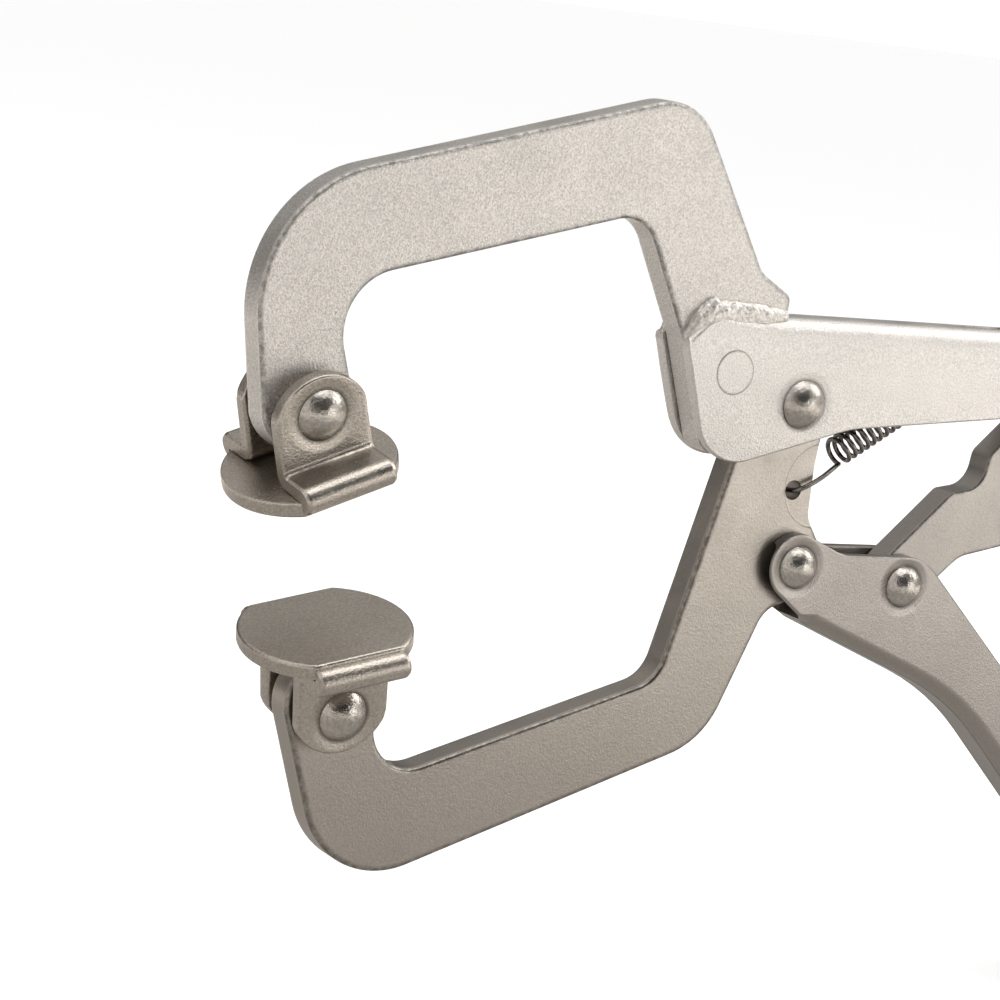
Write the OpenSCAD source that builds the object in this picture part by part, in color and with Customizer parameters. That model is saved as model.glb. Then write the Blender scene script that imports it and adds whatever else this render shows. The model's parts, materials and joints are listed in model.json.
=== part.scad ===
// Locking C-clamp pliers with swivel pads, open.
// Design frame: the main pivot is at the origin, X runs along the fixed handle,
// Z is up and Y runs across the tool. The last step moves it to the floor centre.

/* [Jaws] */
// Thickness of the fixed jaw bar
bar_t = 6; // [5:0.1:8]
// Thickness of the moving jaw bar
moving_bar_t = 5.8; // [4.8:0.1:7.8]
// Radius of the jaw tips around their rivets
tip_r = 8.7; // [8:0.1:9]
// Radius of the moving jaw around the main pivot
hub_r = 9; // [8:0.1:9.3]

/* [Handles] */
// Thickness of the fixed handle's sheet
plate_t = 2.5; // [2:0.1:3]
// Gap between the lower handle's side plates
lower_gap = 6.2; // [6.1:0.05:6.4]
// Thickness of the lower handle's sheet
lower_plate_t = 2.4; // [2:0.1:3]
// How far the lower handle is swung open
open_angle = 40.3; // [38:0.1:42]
// Thickness of the toggle link and of the release lever
link_t = 5.6; // [5:0.1:6]

/* [Pads] */
// Radius of a swivel pad's disc
pad_r = 15; // [14:0.5:16]
// Thickness of the pad's folded sheet
pad_t = 2.8; // [2.6:0.1:3.2]
// Distance from the pad's rivet to the back of its disc
pad_drop = 11.2; // [10.8:0.1:11.4]
// Half of the gap between a pad's ears
ear_gap = 4.6; // [4.4:0.1:5]
// Turn of the fixed jaw's pad about its rivet
fixed_pad_tilt = 20.5; // [10:0.5:30]
// Turn of the moving jaw's pad about its rivet
moving_pad_tilt = 11.5; // [0:0.5:20]
// How far both pads lean sideways in their loose holes
pad_rock = 10; // [0:1:10]

/* [Adjusting screw] */
// Diameter of the screw thread
screw_d = 9.5; // [9:0.1:9.6]
// Pitch of the screw thread
screw_pitch = 1.6; // [1.4:0.1:2]
// Diameter of the knurled head
knob_d = 13; // [12:0.5:15]

/* [Return spring] */
// Diameter of the spring wire
wire_d = 0.9; // [0.7:0.1:1]
// Mean radius of the spring coil
coil_r = 2.5; // [2.2:0.1:2.5]
// Number of turns in the coil
coil_turns = 21; // [15:1:24]

/* [Hidden] */
$fn = 64;

// Places of the pivots
main_pivot = [0, 0];
handle_pivot = [4.3, -30.3];
fixed_pad_pivot = [-100.2, -3.9];
moving_pad_pivot = [-89, -55.2];
jaw_pin_place = [-16.5, 5.3];
spring_hole = [2.9, -16.4];
// The link pivot and the lever pivot, along and above the closed lower handle
link_pivot = [21.9, 13.95];
lever_pivot = [84, 13.2];
// Centre of the link's nose, and the axis of the adjusting screw
nose_centre = [72.5, 7.75];
screw_z = 7.75;
screw_tip_x = 80.2;

// Shanks and heads of the rivets, and the play in their holes
main_rivet_d = 7;
main_head_d = 9;
rivet_d = 6;
head_d = 8;
lever_rivet_d = 4.5;
lever_head_d = 7;
pad_head_d = 9;
head_h = 2.5;
pin_d = 8;
run_fit = 0.05;
loose_fit = 1.4;

// Size of the cutters that go right through a piece, and the overrun of the others
through = 40;
overrun = 0.1;

// Fixed handle
handle_top = 15.5;
handle_front = -8;
spine_bend_r = 3;
barrel_r = 7.75;
barrel_start = 104;
barrel_end = 128;
flare_start = 50;
flare_end = 85;
handle_half = bar_t / 2 + plate_t;
// A place ahead of the handle, where its cutters start
handle_ahead = -30;
// Length of the barrel's root inside the channel
barrel_lap = 3;

// Place of the floor centre in the design frame
floor_x = 28.18;
floor_z = -118.04;

nickel = [0.72, 0.70, 0.67];
dark_steel = [0.25, 0.24, 0.23];

function unit(v) = v / norm(v);

// The short arc that rounds the corner b between a and c
function corner(a, b, c, r) =
  let (
    u = unit(a - b),
    v = unit(c - b),
    half = acos(u * v) / 2,
    reach = r / tan(half),
    start = b + u * reach,
    centre = b + unit(u + v) * r / sin(half),
    side = sign(u[1] * v[0] - u[0] * v[1]),
    from = atan2(start[1] - centre[1], start[0] - centre[0]),
    sweep = side * (180 - 2 * half),
    steps = max(2, ceil(abs(sweep) / 7))
  )
  [for (i = [0:steps]) centre + r * [cos(from + sweep * i / steps), sin(from + sweep * i / steps)]];

// An outline from corners given as [x, z, radius]
function rounded(p) =
  let (n = len(p))
  [for (i = [0:n - 1])
    let (
      a = [p[(i + n - 1) % n][0], p[(i + n - 1) % n][1]],
      b = [p[i][0], p[i][1]],
      c = [p[(i + 1) % n][0], p[(i + 1) % n][1]]
    )
    each p[i][2] == 0 ? [b] : corner(a, b, c, p[i][2])
  ];

// A plate standing in the XZ plane, centred on Y
module plate(t) {
  rotate([90, 0, 0])
    linear_extrude(t, center = true)
      children();
}

// A bar across the tool
module cross_bar(p, d, length) {
  translate([p[0], 0, p[1]])
    rotate([90, 0, 0])
      cylinder(d = d, h = length, center = true);
}

// A domed head that stands on the plane y = 0 and points to -Y
module dome(d, h) {
  ball_r = (d * d / 4 + h * h) / (2 * h);
  intersection() {
    translate([0, ball_r - h, 0])
      sphere(r = ball_r);
    rotate([90, 0, 0])
      cylinder(d = d, h = h);
  }
}

// A rivet with two domed heads, whose heads stand on planes at y = -grip/2 and grip/2
module rivet(d, head_d, grip) {
  rotate([90, 0, 0])
    cylinder(d = d, h = grip, center = true);
  for (side = [0, 180])
    rotate([0, 0, side])
      translate([0, -grip / 2, 0])
        dome(head_d, head_h);
}

// ---- Fixed handle ----

handle_outline = rounded([
  [-27.6, 10.5, 1.5], [-22, handle_top, 4], [barrel_start, handle_top, 0],
  [barrel_start, 0, 0], [60, 0, 40], [12, -4.3, 25], [-19.1, -13.5, 10]
]);

// Plan shape of the channel, for a half width at the front and at the back
module channel_plan(front, back, x0, x1) {
  polygon([
    [x0, -front], [flare_start, -front], [flare_end, -back], [x1, -back],
    [x1, back], [flare_end, back], [flare_start, front], [x0, front]
  ]);
}

// Cuts the square edge of the spine to a bend, along a straight run in plan
module bend_cut(p, q) {
  run = q - p;
  translate([p[0], p[1], handle_top])
    rotate([0, 0, atan2(run[1], run[0])])
      rotate([90, 0, 90])
        translate([0, 0, -overrun])
          linear_extrude(norm(run) + 2 * overrun)
            difference() {
              translate([-spine_bend_r, -spine_bend_r])
                square(2 * spine_bend_r);
              translate([spine_bend_r, -spine_bend_r])
                circle(r = spine_bend_r);
            }
}

module spine_bends() {
  for (side = [0, 1])
    mirror([0, side, 0]) {
      bend_cut([handle_ahead, -handle_half], [flare_start, -handle_half]);
      bend_cut([flare_start, -handle_half], [flare_end, -barrel_r]);
      bend_cut([flare_end, -barrel_r], [barrel_start, -barrel_r]);
    }
}

// Tongue lanced from the spine, which holds the rear hook of the spring
tongue_root = [50, 14.2];
tongue_angle = 40;
tongue_l = 9;
tongue_t = 1.6;
tongue_w = 4.2;
tongue_lap = 0.6;
tongue_hole = [45.6, 10.2];
tongue_hole_d = 2.2;
slot_l = 13;

module spring_tongue() {
  translate([tongue_root[0], 0, tongue_root[1]])
    rotate([0, -tongue_angle, 0])
      translate([-tongue_l, -tongue_w / 2, -tongue_t / 2])
        cube([tongue_l + tongue_lap, tongue_w, tongue_t]);
}

module fixed_handle() {
  color(nickel)
    difference() {
      union() {
        difference() {
          intersection() {
            plate(through)
              polygon(handle_outline);
            translate([0, 0, -through / 2])
              linear_extrude(through)
                channel_plan(handle_half, barrel_r, handle_ahead, barrel_start);
          }
          spine_bends();
          translate([0, 0, -through / 2])
            linear_extrude(through / 2 + handle_top - plate_t)
              channel_plan(bar_t / 2, barrel_r - plate_t, handle_ahead, barrel_start + 1);
          translate([handle_ahead, -bar_t / 2, -through / 2])
            cube([handle_front - handle_ahead, bar_t, through]);
          translate([tongue_root[0] - slot_l, -tongue_w / 2, handle_top - 2 * plate_t])
            cube([slot_l, tongue_w, 3 * plate_t]);
        }
        translate([barrel_start - barrel_lap, 0, screw_z])
          rotate([0, 90, 0])
            cylinder(r = barrel_r, h = barrel_end - barrel_start + barrel_lap);
        spring_tongue();
      }
      translate([barrel_start - barrel_lap - 1, 0, screw_z])
        rotate([0, 90, 0])
          cylinder(d = screw_d + 2 * run_fit, h = barrel_end - barrel_start + barrel_lap + 2);
      cross_bar(main_pivot, main_rivet_d, through);
      cross_bar(jaw_pin_place, pin_d, through);
      translate([tongue_hole[0], 0, tongue_hole[1]])
        rotate([0, -tongue_angle, 0])
          cylinder(d = tongue_hole_d, h = 2 * tongue_t, center = true);
    }
}

// ---- Fixed jaw ----

// Gaps from the jaw's root to the step in the handle and to the moving jaw's hub
seat_gap = 0.1;
hub_gap = 0.5;
fixed_jaw_outline = rounded([
  [-108.4, -6.3, 0], [-115.4, 30.3, 24], [-30.8, 53.4, 11], [-11.6, 23.2, 5],
  [-4.5, 19.2, 1.6], [-4.5, handle_top, 0], [handle_front - seat_gap, handle_top, 0],
  [handle_front - seat_gap, 0.3, 0], [-14.3, -10, 0.8], [-19.4, -10, 4],
  [-27.0, 10.6, 6], [-38.5, 32, 7], [-98.4, 16.1, 10.6], [-91.4, -1.6, 0],
  [fixed_pad_pivot[0], fixed_pad_pivot[1], 0]
]);

module fixed_jaw() {
  color(nickel)
    difference() {
      union() {
        plate(bar_t)
          polygon(fixed_jaw_outline);
        cross_bar(fixed_pad_pivot, 2 * tip_r, bar_t);
      }
      cross_bar(main_pivot, 2 * (hub_r + hub_gap), through);
      cross_bar(jaw_pin_place, pin_d, through);
      cross_bar(fixed_pad_pivot, rivet_d + loose_fit, through);
    }
}

module jaw_fixing_pin() {
  color(nickel)
    cross_bar(jaw_pin_place, pin_d, 2 * handle_half);
}

// ---- Weld between the fixed jaw and the handle ----

weld_path = [[-28.2, 10.2], [-25.6, 13.6], [-22.4, 15.9], [-12, 15.6], [-5.4, 15.7]];
weld_r = [1.7, 2.1, 2.5, 2, 1.5];
weld_out = 0.9;
bead_sides = 20;

module weld_bead() {
  difference() {
    for (i = [0:len(weld_path) - 2])
      hull()
        for (k = [i, i + 1])
          translate([weld_path[k][0], -bar_t / 2 - weld_out, weld_path[k][1]])
            sphere(r = weld_r[k], $fn = bead_sides);
    translate([-through, -bar_t / 2, 0])
      cube(through);
    plate(2 * handle_half)
      polygon(handle_outline);
  }
}

module jaw_weld() {
  color(nickel)
    for (side = [0, 1])
      mirror([0, side, 0])
        weld_bead();
}

module main_pivot_rivet() {
  color(nickel)
    rivet(main_rivet_d, main_head_d, 2 * handle_half);
}

// ---- Moving jaw ----

moving_jaw_outline = rounded([
  [-6.15, 1.8, 0], [-22, -52.1, 7], [-78, -69.7, 8], [-80.3, -55.2, 0],
  [moving_pad_pivot[0], moving_pad_pivot[1], 0], [-97.4, -58, 0], [-85.5, -90.5, 17],
  [-9.5, -63.9, 16], [0.4, -39, 6], [11.2, -35.6, 6.4], [11.2, -27.2, 5],
  [7.2, -21.5, 5], [7.0, -11.5, 5], [5.4, -5.5, 0], [0, 0, 0]
]);
// A shallow round recess coined in the near face
coin_place = [8.6, -15.4];
coin_r = 8;
coin_depth = 0.5;
spring_hole_d = 3.6;

module moving_jaw() {
  color(nickel)
    difference() {
      union() {
        plate(moving_bar_t)
          polygon(moving_jaw_outline);
        cross_bar(main_pivot, 2 * hub_r, moving_bar_t);
        cross_bar(moving_pad_pivot, 2 * tip_r, moving_bar_t);
      }
      cross_bar(main_pivot, main_rivet_d + 2 * run_fit, through);
      cross_bar(handle_pivot, rivet_d + 2 * run_fit, through);
      cross_bar(moving_pad_pivot, rivet_d + loose_fit, through);
      cross_bar(spring_hole, spring_hole_d, through);
      translate([coin_place[0], -moving_bar_t / 2 + coin_depth, coin_place[1]])
        rotate([90, 0, 0])
          cylinder(r = coin_r, h = moving_bar_t);
    }
}

// ---- Lower handle, drawn closed with its front pivot at the origin ----

lower_outline = rounded([
  [-2.1, 5.8, 0], [6.5, 8.6, 12], [21.5, 21, 11], [54, 19.9, 80], [100, 20.6, 120],
  [146, 18.8, 4.5], [146, 6, 6], [118, 3.8, 100], [50, 7.8, 60], [11, -5.4, 9], [1, -6.12, 0]
]);
// The space inside the channel, above the web
lower_inside = rounded([
  [9.4, -3.4, 0], [49.6, 10.2, 60], [118, 6.2, 100], [160, 9.2, 0], [160, 40, 0], [-20, 40, 0],
  [-20, -20, 0], [9.4, -20, 0]
]);
lower_nose_r = 6.2;
lower_half = lower_gap / 2 + lower_plate_t;

module at_lower_handle() {
  translate([handle_pivot[0], 0, handle_pivot[1]])
    rotate([0, open_angle, 0])
      children();
}

module lower_handle() {
  color(nickel)
    at_lower_handle()
      difference() {
        union() {
          plate(2 * lower_half)
            polygon(lower_outline);
          cross_bar([0, 0], 2 * lower_nose_r, 2 * lower_half);
        }
        plate(lower_gap)
          polygon(lower_inside);
        cross_bar([0, 0], rivet_d, through);
        cross_bar(link_pivot, rivet_d, through);
        cross_bar(lever_pivot, lever_rivet_d, through);
      }
}

module handle_pivot_rivet() {
  color(nickel)
    at_lower_handle()
      rivet(rivet_d, head_d, 2 * lower_half);
}

module link_rivet() {
  color(nickel)
    at_lower_handle()
      translate([link_pivot[0], 0, link_pivot[1]])
        rivet(rivet_d, head_d, 2 * lower_half);
}

module release_lever_rivet() {
  color(nickel)
    at_lower_handle()
      translate([lever_pivot[0], 0, lever_pivot[1]])
        rivet(lever_rivet_d, lever_head_d, 2 * lower_half);
}

// ---- Release lever, in the lower handle's own frame ----

lever_outline = rounded([
  [44.5, 12.8, 0.8], [58, 13, 6], [74, 17.2, 8], [100, 18.2, 20], [124, 22, 20],
  [143, 28.6, 12], [154, 27.2, 1.6], [154, 23.4, 1.8], [142, 24, 10], [124, 14.6, 20],
  [98, 10.6, 20], [60, 10.9, 0], [44.5, 10.9, 0.8]
]);
lever_hub_r = 4.4;

module release_lever() {
  color(nickel)
    at_lower_handle()
      difference() {
        union() {
          plate(link_t)
            polygon(lever_outline);
          cross_bar(lever_pivot, 2 * lever_hub_r, link_t);
        }
        cross_bar(lever_pivot, lever_rivet_d + 2 * run_fit, through);
      }
}

// ---- Toggle link, drawn along X from its rivet ----

link_c = [
  handle_pivot[0] + link_pivot[0] * cos(open_angle) + link_pivot[1] * sin(open_angle),
  handle_pivot[1] - link_pivot[0] * sin(open_angle) + link_pivot[1] * cos(open_angle)
];
link_run = nose_centre - link_c;
link_l = norm(link_run);
link_eye_r = 5.6;
link_nose_r = 4.2;
link_outline = rounded([
  [1, 5.5, 0], [20, 5.2, 2], [26, 1.0, 5], [31, 5.0, 3], [50, 4.8, 20], [link_l, link_nose_r, 0],
  [link_l, -link_nose_r, 0], [50, -4.8, 12], [38, -9.5, 9], [27.5, -15, 6], [14.5, -6.8, 7], [4, -6.2, 3],
  [1, -5.5, 0]
]);

module toggle_link() {
  color(nickel)
    translate([link_c[0], 0, link_c[1]])
      rotate([0, -atan2(link_run[1], link_run[0]), 0])
        difference() {
          union() {
            plate(link_t)
              polygon(link_outline);
            cross_bar([0, 0], 2 * link_eye_r, link_t);
            cross_bar([link_l, 0], 2 * link_nose_r, link_t);
          }
          cross_bar([0, 0], rivet_d + 2 * run_fit, through);
        }
}

// ---- Adjusting screw ----

nose_d = 7;
nose_chamfer = 0.8;
thread_start = screw_tip_x + 6;
thread_end = 149;
knob_end = 168;
// Height of a ridge, and where its crest starts and ends as parts of the pitch
flank = 0.6;
crest_from = 0.4;
crest_to = 0.6;
// Chamfers of the head, and the grooves cut along it
knob_inner_chamfer = 1.5;
knob_outer_chamfer = 1.2;
knurls = 30;
knurl_w = 1;
knurl_out = 0.15;
knurl_margin = 2;

module on_screw_axis(x) {
  translate([x, 0, screw_z])
    rotate([0, 90, 0])
      children();
}

module screw_nose() {
  color(nickel)
    on_screw_axis(screw_tip_x)
      union() {
        cylinder(d1 = nose_d - 2 * nose_chamfer, d2 = nose_d, h = nose_chamfer);
        translate([0, 0, nose_chamfer])
          cylinder(d = nose_d, h = thread_start - screw_tip_x - nose_chamfer);
      }
}

// The thread is drawn as a row of ridges
thread_count = floor((thread_end - thread_start) / screw_pitch);
thread_profile = [
  [0, 0],
  for (i = [0:thread_count - 1])
    each [
      [screw_d / 2 - flank, i * screw_pitch],
      [screw_d / 2, (i + crest_from) * screw_pitch],
      [screw_d / 2, (i + crest_to) * screw_pitch]
    ],
  [screw_d / 2 - flank, thread_count * screw_pitch],
  [screw_d / 2 - flank, thread_end - thread_start],
  [0, thread_end - thread_start]
];

module adjusting_screw() {
  color(nickel)
    on_screw_axis(thread_start)
      rotate_extrude()
        polygon(thread_profile);
}

module screw_knob() {
  h = knob_end - thread_end;
  r = knob_d / 2;
  color(nickel)
    on_screw_axis(thread_end)
      difference() {
        rotate_extrude()
          polygon([
            [0, 0], [r - knob_inner_chamfer, 0], [r, knob_inner_chamfer],
            [r, h - knob_outer_chamfer], [r - knob_outer_chamfer, h], [0, h]
          ]);
        for (i = [0:knurls - 1])
          rotate([0, 0, i * 360 / knurls])
            translate([r + knurl_out, 0, knurl_margin])
              rotate([0, 0, 45])
                translate([-knurl_w / 2, -knurl_w / 2, 0])
                  cube([knurl_w, knurl_w, h - 2 * knurl_margin]);
      }
}

// ---- Return spring ----

coil_start = [13.2, -9.6];
coil_end = [41.5, 8.0];
ring_sides = 8;
steps_per_turn = 12;
coil_axis = unit([coil_end[0] - coil_start[0], 0, coil_end[1] - coil_start[1]]);
coil_up = [-coil_axis[2], 0, coil_axis[0]];
coil_l = norm(coil_end - coil_start);
coil_points = [
  for (i = [0:coil_turns * steps_per_turn])
    let (
      turn = 360 * i / steps_per_turn - 90,
      along = coil_l * i / (coil_turns * steps_per_turn)
    )
    [coil_start[0], 0, coil_start[1]] + coil_axis * along
      + coil_r * (cos(turn) * [0, 1, 0] + sin(turn) * coil_up)
];
// The front hook goes from the coil through the jaw's hole and back
front_hook = [
  [6.2, 3.9, -14.9], [4.2, 3.9, -15.8], [3.0, 2.6, -16.5], [2.7, 0, -16.7], [3.0, -2.6, -16.5],
  [4.2, -3.9, -15.6], [8, -3.5, -13.9], [12.2, -1.8, -12.0]
];
// The rear hook goes from the coil through the hole in the tongue
rear_hook = [[44.2, 0, 10.9], [45.3, 0, 11.4], [46.6, 0, 11.2], [47, 0, 9.9], [46.2, 0, 8.8]];
spring_path = concat(front_hook, coil_points, rear_hook);

function path_run(p, i) = unit(p[min(i + 1, len(p) - 1)] - p[max(i - 1, 0)]);

// A tube that follows a path; each ring is carried on from the last without twist
function carry(v, t) = unit(v - t * (v * t));
function path_sides(p, i, last) =
  i >= len(p) ? [] :
  let (side = carry(last, path_run(p, i)))
  concat([side], path_sides(p, i + 1, side));

module tube(p, d) {
  sides = path_sides(p, 0, [0.1, 0.2, 1]);
  n = len(p);
  rings = [
    for (i = [0:n - 1])
      let (
        t = path_run(p, i),
        a = sides[i],
        b = cross(t, a)
      )
      for (k = [0:ring_sides - 1])
        p[i] + d / 2 * (cos(360 * k / ring_sides) * a + sin(360 * k / ring_sides) * b)
  ];
  walls = [
    for (i = [0:n - 2])
      for (k = [0:ring_sides - 1])
        let (next = (k + 1) % ring_sides)
        [i * ring_sides + k, (i + 1) * ring_sides + k, (i + 1) * ring_sides + next, i * ring_sides + next]
  ];
  first_cap = [for (k = [0:ring_sides - 1]) k];
  last_cap = [for (k = [ring_sides - 1:-1:0]) (n - 1) * ring_sides + k];
  polyhedron(rings, concat(walls, [first_cap, last_cap]));
}

module return_spring() {
  color(dark_steel)
    tube(spring_path, wire_d);
}

// ---- Swivel pads: the rivet is at the origin and the clamping face points to +Z ----

flat_half = 12.6;
ear_t = 2.6;
ear_r = 9;
ear_rise = 2;
ear_w = 17;
fold_r = pad_t;

module swivel_pad() {
  difference() {
    union() {
      // The disc, with its two flats
      intersection() {
        translate([0, 0, pad_drop])
          cylinder(r = pad_r, h = pad_t);
        translate([-pad_r, -flat_half, pad_drop])
          cube([2 * pad_r, 2 * flat_half, pad_t]);
      }
      for (side = [0, 1])
        mirror([0, side, 0])
          pad_ear();
    }
    cross_bar([0, 0], rivet_d + 2 * run_fit, through);
  }
}

// One tab: folded back under the disc's flat edge, then bent to an ear
module pad_ear() {
  leaf_z = pad_drop - pad_t;
  // The fold, half a round
  intersection() {
    translate([-ear_w / 2, -flat_half, pad_drop])
      rotate([0, 90, 0])
        cylinder(r = fold_r, h = ear_w);
    translate([-ear_w / 2, -flat_half - fold_r, leaf_z])
      cube([ear_w, fold_r, 2 * fold_r]);
  }
  // The leaf under the disc
  translate([-ear_w / 2, -flat_half, leaf_z])
    cube([ear_w, flat_half - ear_gap - ear_t, pad_t]);
  // The bend from the leaf to the ear
  intersection() {
    translate([-ear_w / 2, -ear_gap - ear_t, leaf_z])
      cube([ear_w, ear_t, pad_t]);
    translate([-ear_w / 2, -ear_gap - ear_t, leaf_z])
      rotate([0, 90, 0])
        cylinder(r = pad_t, h = ear_w);
  }
  // The ear
  translate([0, -ear_gap - ear_t / 2, 0])
    intersection() {
      translate([-ear_w / 2, -ear_t / 2, -ear_r])
        cube([ear_w, ear_t, ear_r + leaf_z]);
      union() {
        cross_bar([0, ear_rise], 2 * ear_r, ear_t);
        translate([-ear_w / 2, -ear_t / 2, ear_rise])
          cube([ear_w, ear_t, leaf_z - ear_rise]);
      }
    }
}

module at_fixed_pad() {
  translate([fixed_pad_pivot[0], 0, fixed_pad_pivot[1]])
    rotate([0, -fixed_pad_tilt, 0])
      rotate([pad_rock, 0, 0])
        rotate([180, 0, 0])
          children();
}

module at_moving_pad() {
  translate([moving_pad_pivot[0], 0, moving_pad_pivot[1]])
    rotate([0, -moving_pad_tilt, 0])
      rotate([pad_rock, 0, 0])
        children();
}

module pad_rivet() {
  rivet(rivet_d, pad_head_d, 2 * (ear_gap + ear_t));
}

module fixed_jaw_pad() {
  color(nickel)
    at_fixed_pad()
      swivel_pad();
}

module fixed_pad_rivet() {
  color(nickel)
    at_fixed_pad()
      pad_rivet();
}

module moving_jaw_pad() {
  color(nickel)
    at_moving_pad()
      swivel_pad();
}

module moving_pad_rivet() {
  color(nickel)
    at_moving_pad()
      pad_rivet();
}

module on_floor() {
  translate([-floor_x, 0, -floor_z])
    children();
}

on_floor() fixed_handle();
on_floor() fixed_jaw();
on_floor() jaw_weld();
on_floor() jaw_fixing_pin();
on_floor() main_pivot_rivet();
on_floor() moving_jaw();
on_floor() lower_handle();
on_floor() handle_pivot_rivet();
on_floor() toggle_link();
on_floor() link_rivet();
on_floor() release_lever();
on_floor() release_lever_rivet();
on_floor() screw_nose();
on_floor() adjusting_screw();
on_floor() screw_knob();
on_floor() return_spring();
on_floor() fixed_jaw_pad();
on_floor() fixed_pad_rivet();
on_floor() moving_jaw_pad();
on_floor() moving_pad_rivet();
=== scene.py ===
"""Locking C-clamp pliers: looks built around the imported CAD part.

Shapes are drawn in millimetres in the frames that the part's source uses. In the design frame the main
pivot is the origin, X runs along the tool from the jaws to the screw, Y across it and Z up.
"""

import json
import math

import bmesh
import bpy
from mathutils import Matrix, Vector, noise
from mathutils.geometry import tessellate_polygon


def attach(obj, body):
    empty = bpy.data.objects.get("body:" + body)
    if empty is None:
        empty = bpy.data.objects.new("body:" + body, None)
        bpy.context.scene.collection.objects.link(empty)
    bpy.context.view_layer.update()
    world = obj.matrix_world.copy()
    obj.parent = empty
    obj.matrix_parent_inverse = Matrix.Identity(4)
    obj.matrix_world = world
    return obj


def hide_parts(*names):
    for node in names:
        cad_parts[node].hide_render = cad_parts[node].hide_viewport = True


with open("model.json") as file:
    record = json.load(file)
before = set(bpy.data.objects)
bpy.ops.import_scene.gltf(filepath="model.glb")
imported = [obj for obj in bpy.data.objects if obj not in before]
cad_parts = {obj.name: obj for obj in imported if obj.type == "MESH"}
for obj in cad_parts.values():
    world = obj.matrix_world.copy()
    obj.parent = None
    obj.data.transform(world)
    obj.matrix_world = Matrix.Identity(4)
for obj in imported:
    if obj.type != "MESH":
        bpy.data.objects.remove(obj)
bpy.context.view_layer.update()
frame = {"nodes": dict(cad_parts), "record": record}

# ---------------------------------------------------------------- sizes, in mm and degrees

MM = 0.001  # one millimetre in Blender's metres
FLOOR_X, FLOOR_Z = 28.18, -118.04  # the floor's centre in the design frame

# Places as (x, z). The link's and the lever's pivots are in the lower handle's own frame
MAIN_PIVOT = (0, 0)
HANDLE_PIVOT = (4.3, -30.3)
UPPER_PAD_PIVOT = (-100.2, -3.9)
LOWER_PAD_PIVOT = (-89.0, -55.2)
LINK_PIVOT = (21.9, 13.95)
LEVER_PIVOT = (84, 13.2)
NOSE_CENTRE = (72.5, 7.75)
PIN_PLACE = (-16.5, 5.3)
SPRING_HOLE = (2.9, -16.4)
COIN_PLACE = (8.6, -15.4)
OPEN_ANGLE = math.radians(40.3)

# Jaws and link
BAR_T = 6.0
MOVING_BAR_T = 5.8
LINK_T = 5.6
TIP_R = 8.7
HUB_R = 9.0
LINK_EYE_R = 5.6
LINK_NOSE_R = 4.2
SPRING_HOLE_R = 1.8
COIN_R = 8.0
COIN_DEPTH = 0.5

# Fixed handle
PLATE_T = 2.5
HANDLE_INNER = BAR_T / 2
HANDLE_HALF = HANDLE_INNER + PLATE_T
HANDLE_TOP = 15.5
HANDLE_FRONT = -8  # the spine starts here; ahead of it the two sides are apart
HANDLE_NOSE = -27.2
HANDLE_END = 103.9
FLARE_START, FLARE_L = 50, 35
BEND_R = 3.4  # the spine's bends
NOSE_BEND_R = 1.4  # the top edge ahead of the spine
BARREL_R = 7.75
BARREL_INNER = 5.3
BORE_R = 4.85
SCREW_Z = 7.75
TONGUE_ROOT = (50, 14.2)
TONGUE_ANGLE = math.radians(40)
TONGUE_L = 9
TONGUE_LAP = 0.6
TONGUE_HALF_W = 2.0
TONGUE_HALF_T = 0.8
SLOT_START = 37
PIN_R = 4.0
PIN_HALF = HANDLE_HALF + 0.02

# Lower handle
LOWER_INNER = 3.1
LOWER_PLATE_T = 2.4
LOWER_HALF = LOWER_INNER + LOWER_PLATE_T
LOWER_BEND_R = 3.0
LOWER_EYE_R = 6.2
LOWER_END = 145.95

# Rivet heads
MAIN_HEAD_R = 4.5
HEAD_R = 4.0
LEVER_HEAD_R = 3.5
PAD_HEAD_R = 4.5

# Pads
PAD_R = 15
PAD_T = 2.8
PAD_DROP = 11.2  # from the rivet to the near face of the disc
PAD_FLAT = 12.6  # from the middle to each flat
PAD_ROCK = 10
UPPER_PAD_TILT = 20.5
LOWER_PAD_TILT = 11.5
EAR_GAP = 4.6
EAR_T = 2.6
EAR_R = 9
EAR_RISE = 2
EAR_HALF = 8.5
FOLD_R = 2.45

# Spring
WIRE_R = 0.45
COIL_R = 2.5
COIL_TURNS = 21


# ---------------------------------------------------------------- frames

def in_design(p):
    """A place in the design frame, in Blender's own coordinates."""
    return Vector(((p[0] - FLOOR_X) * MM, p[1] * MM, (p[2] - FLOOR_Z) * MM))


def turned(origin, angle):
    """A frame whose X axis is turned up by angle about the tool's cross axis."""
    c = math.cos(angle)
    s = math.sin(angle)
    return lambda p: in_design((origin[0] + p[0] * c - p[2] * s, p[1], origin[1] + p[0] * s + p[2] * c))


def pad_frame(pivot, tilt, flip):
    """A frame on a pad's rivet, with the disc above it, or below it when flipped."""
    turn = Matrix.Rotation(math.radians(-tilt), 3, "Y") @ Matrix.Rotation(math.radians(PAD_ROCK), 3, "X")
    if flip:
        turn = turn @ Matrix.Rotation(math.pi, 3, "X")
    return lambda p: in_design(Vector((pivot[0], 0, pivot[1])) + turn @ Vector(p))


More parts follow.
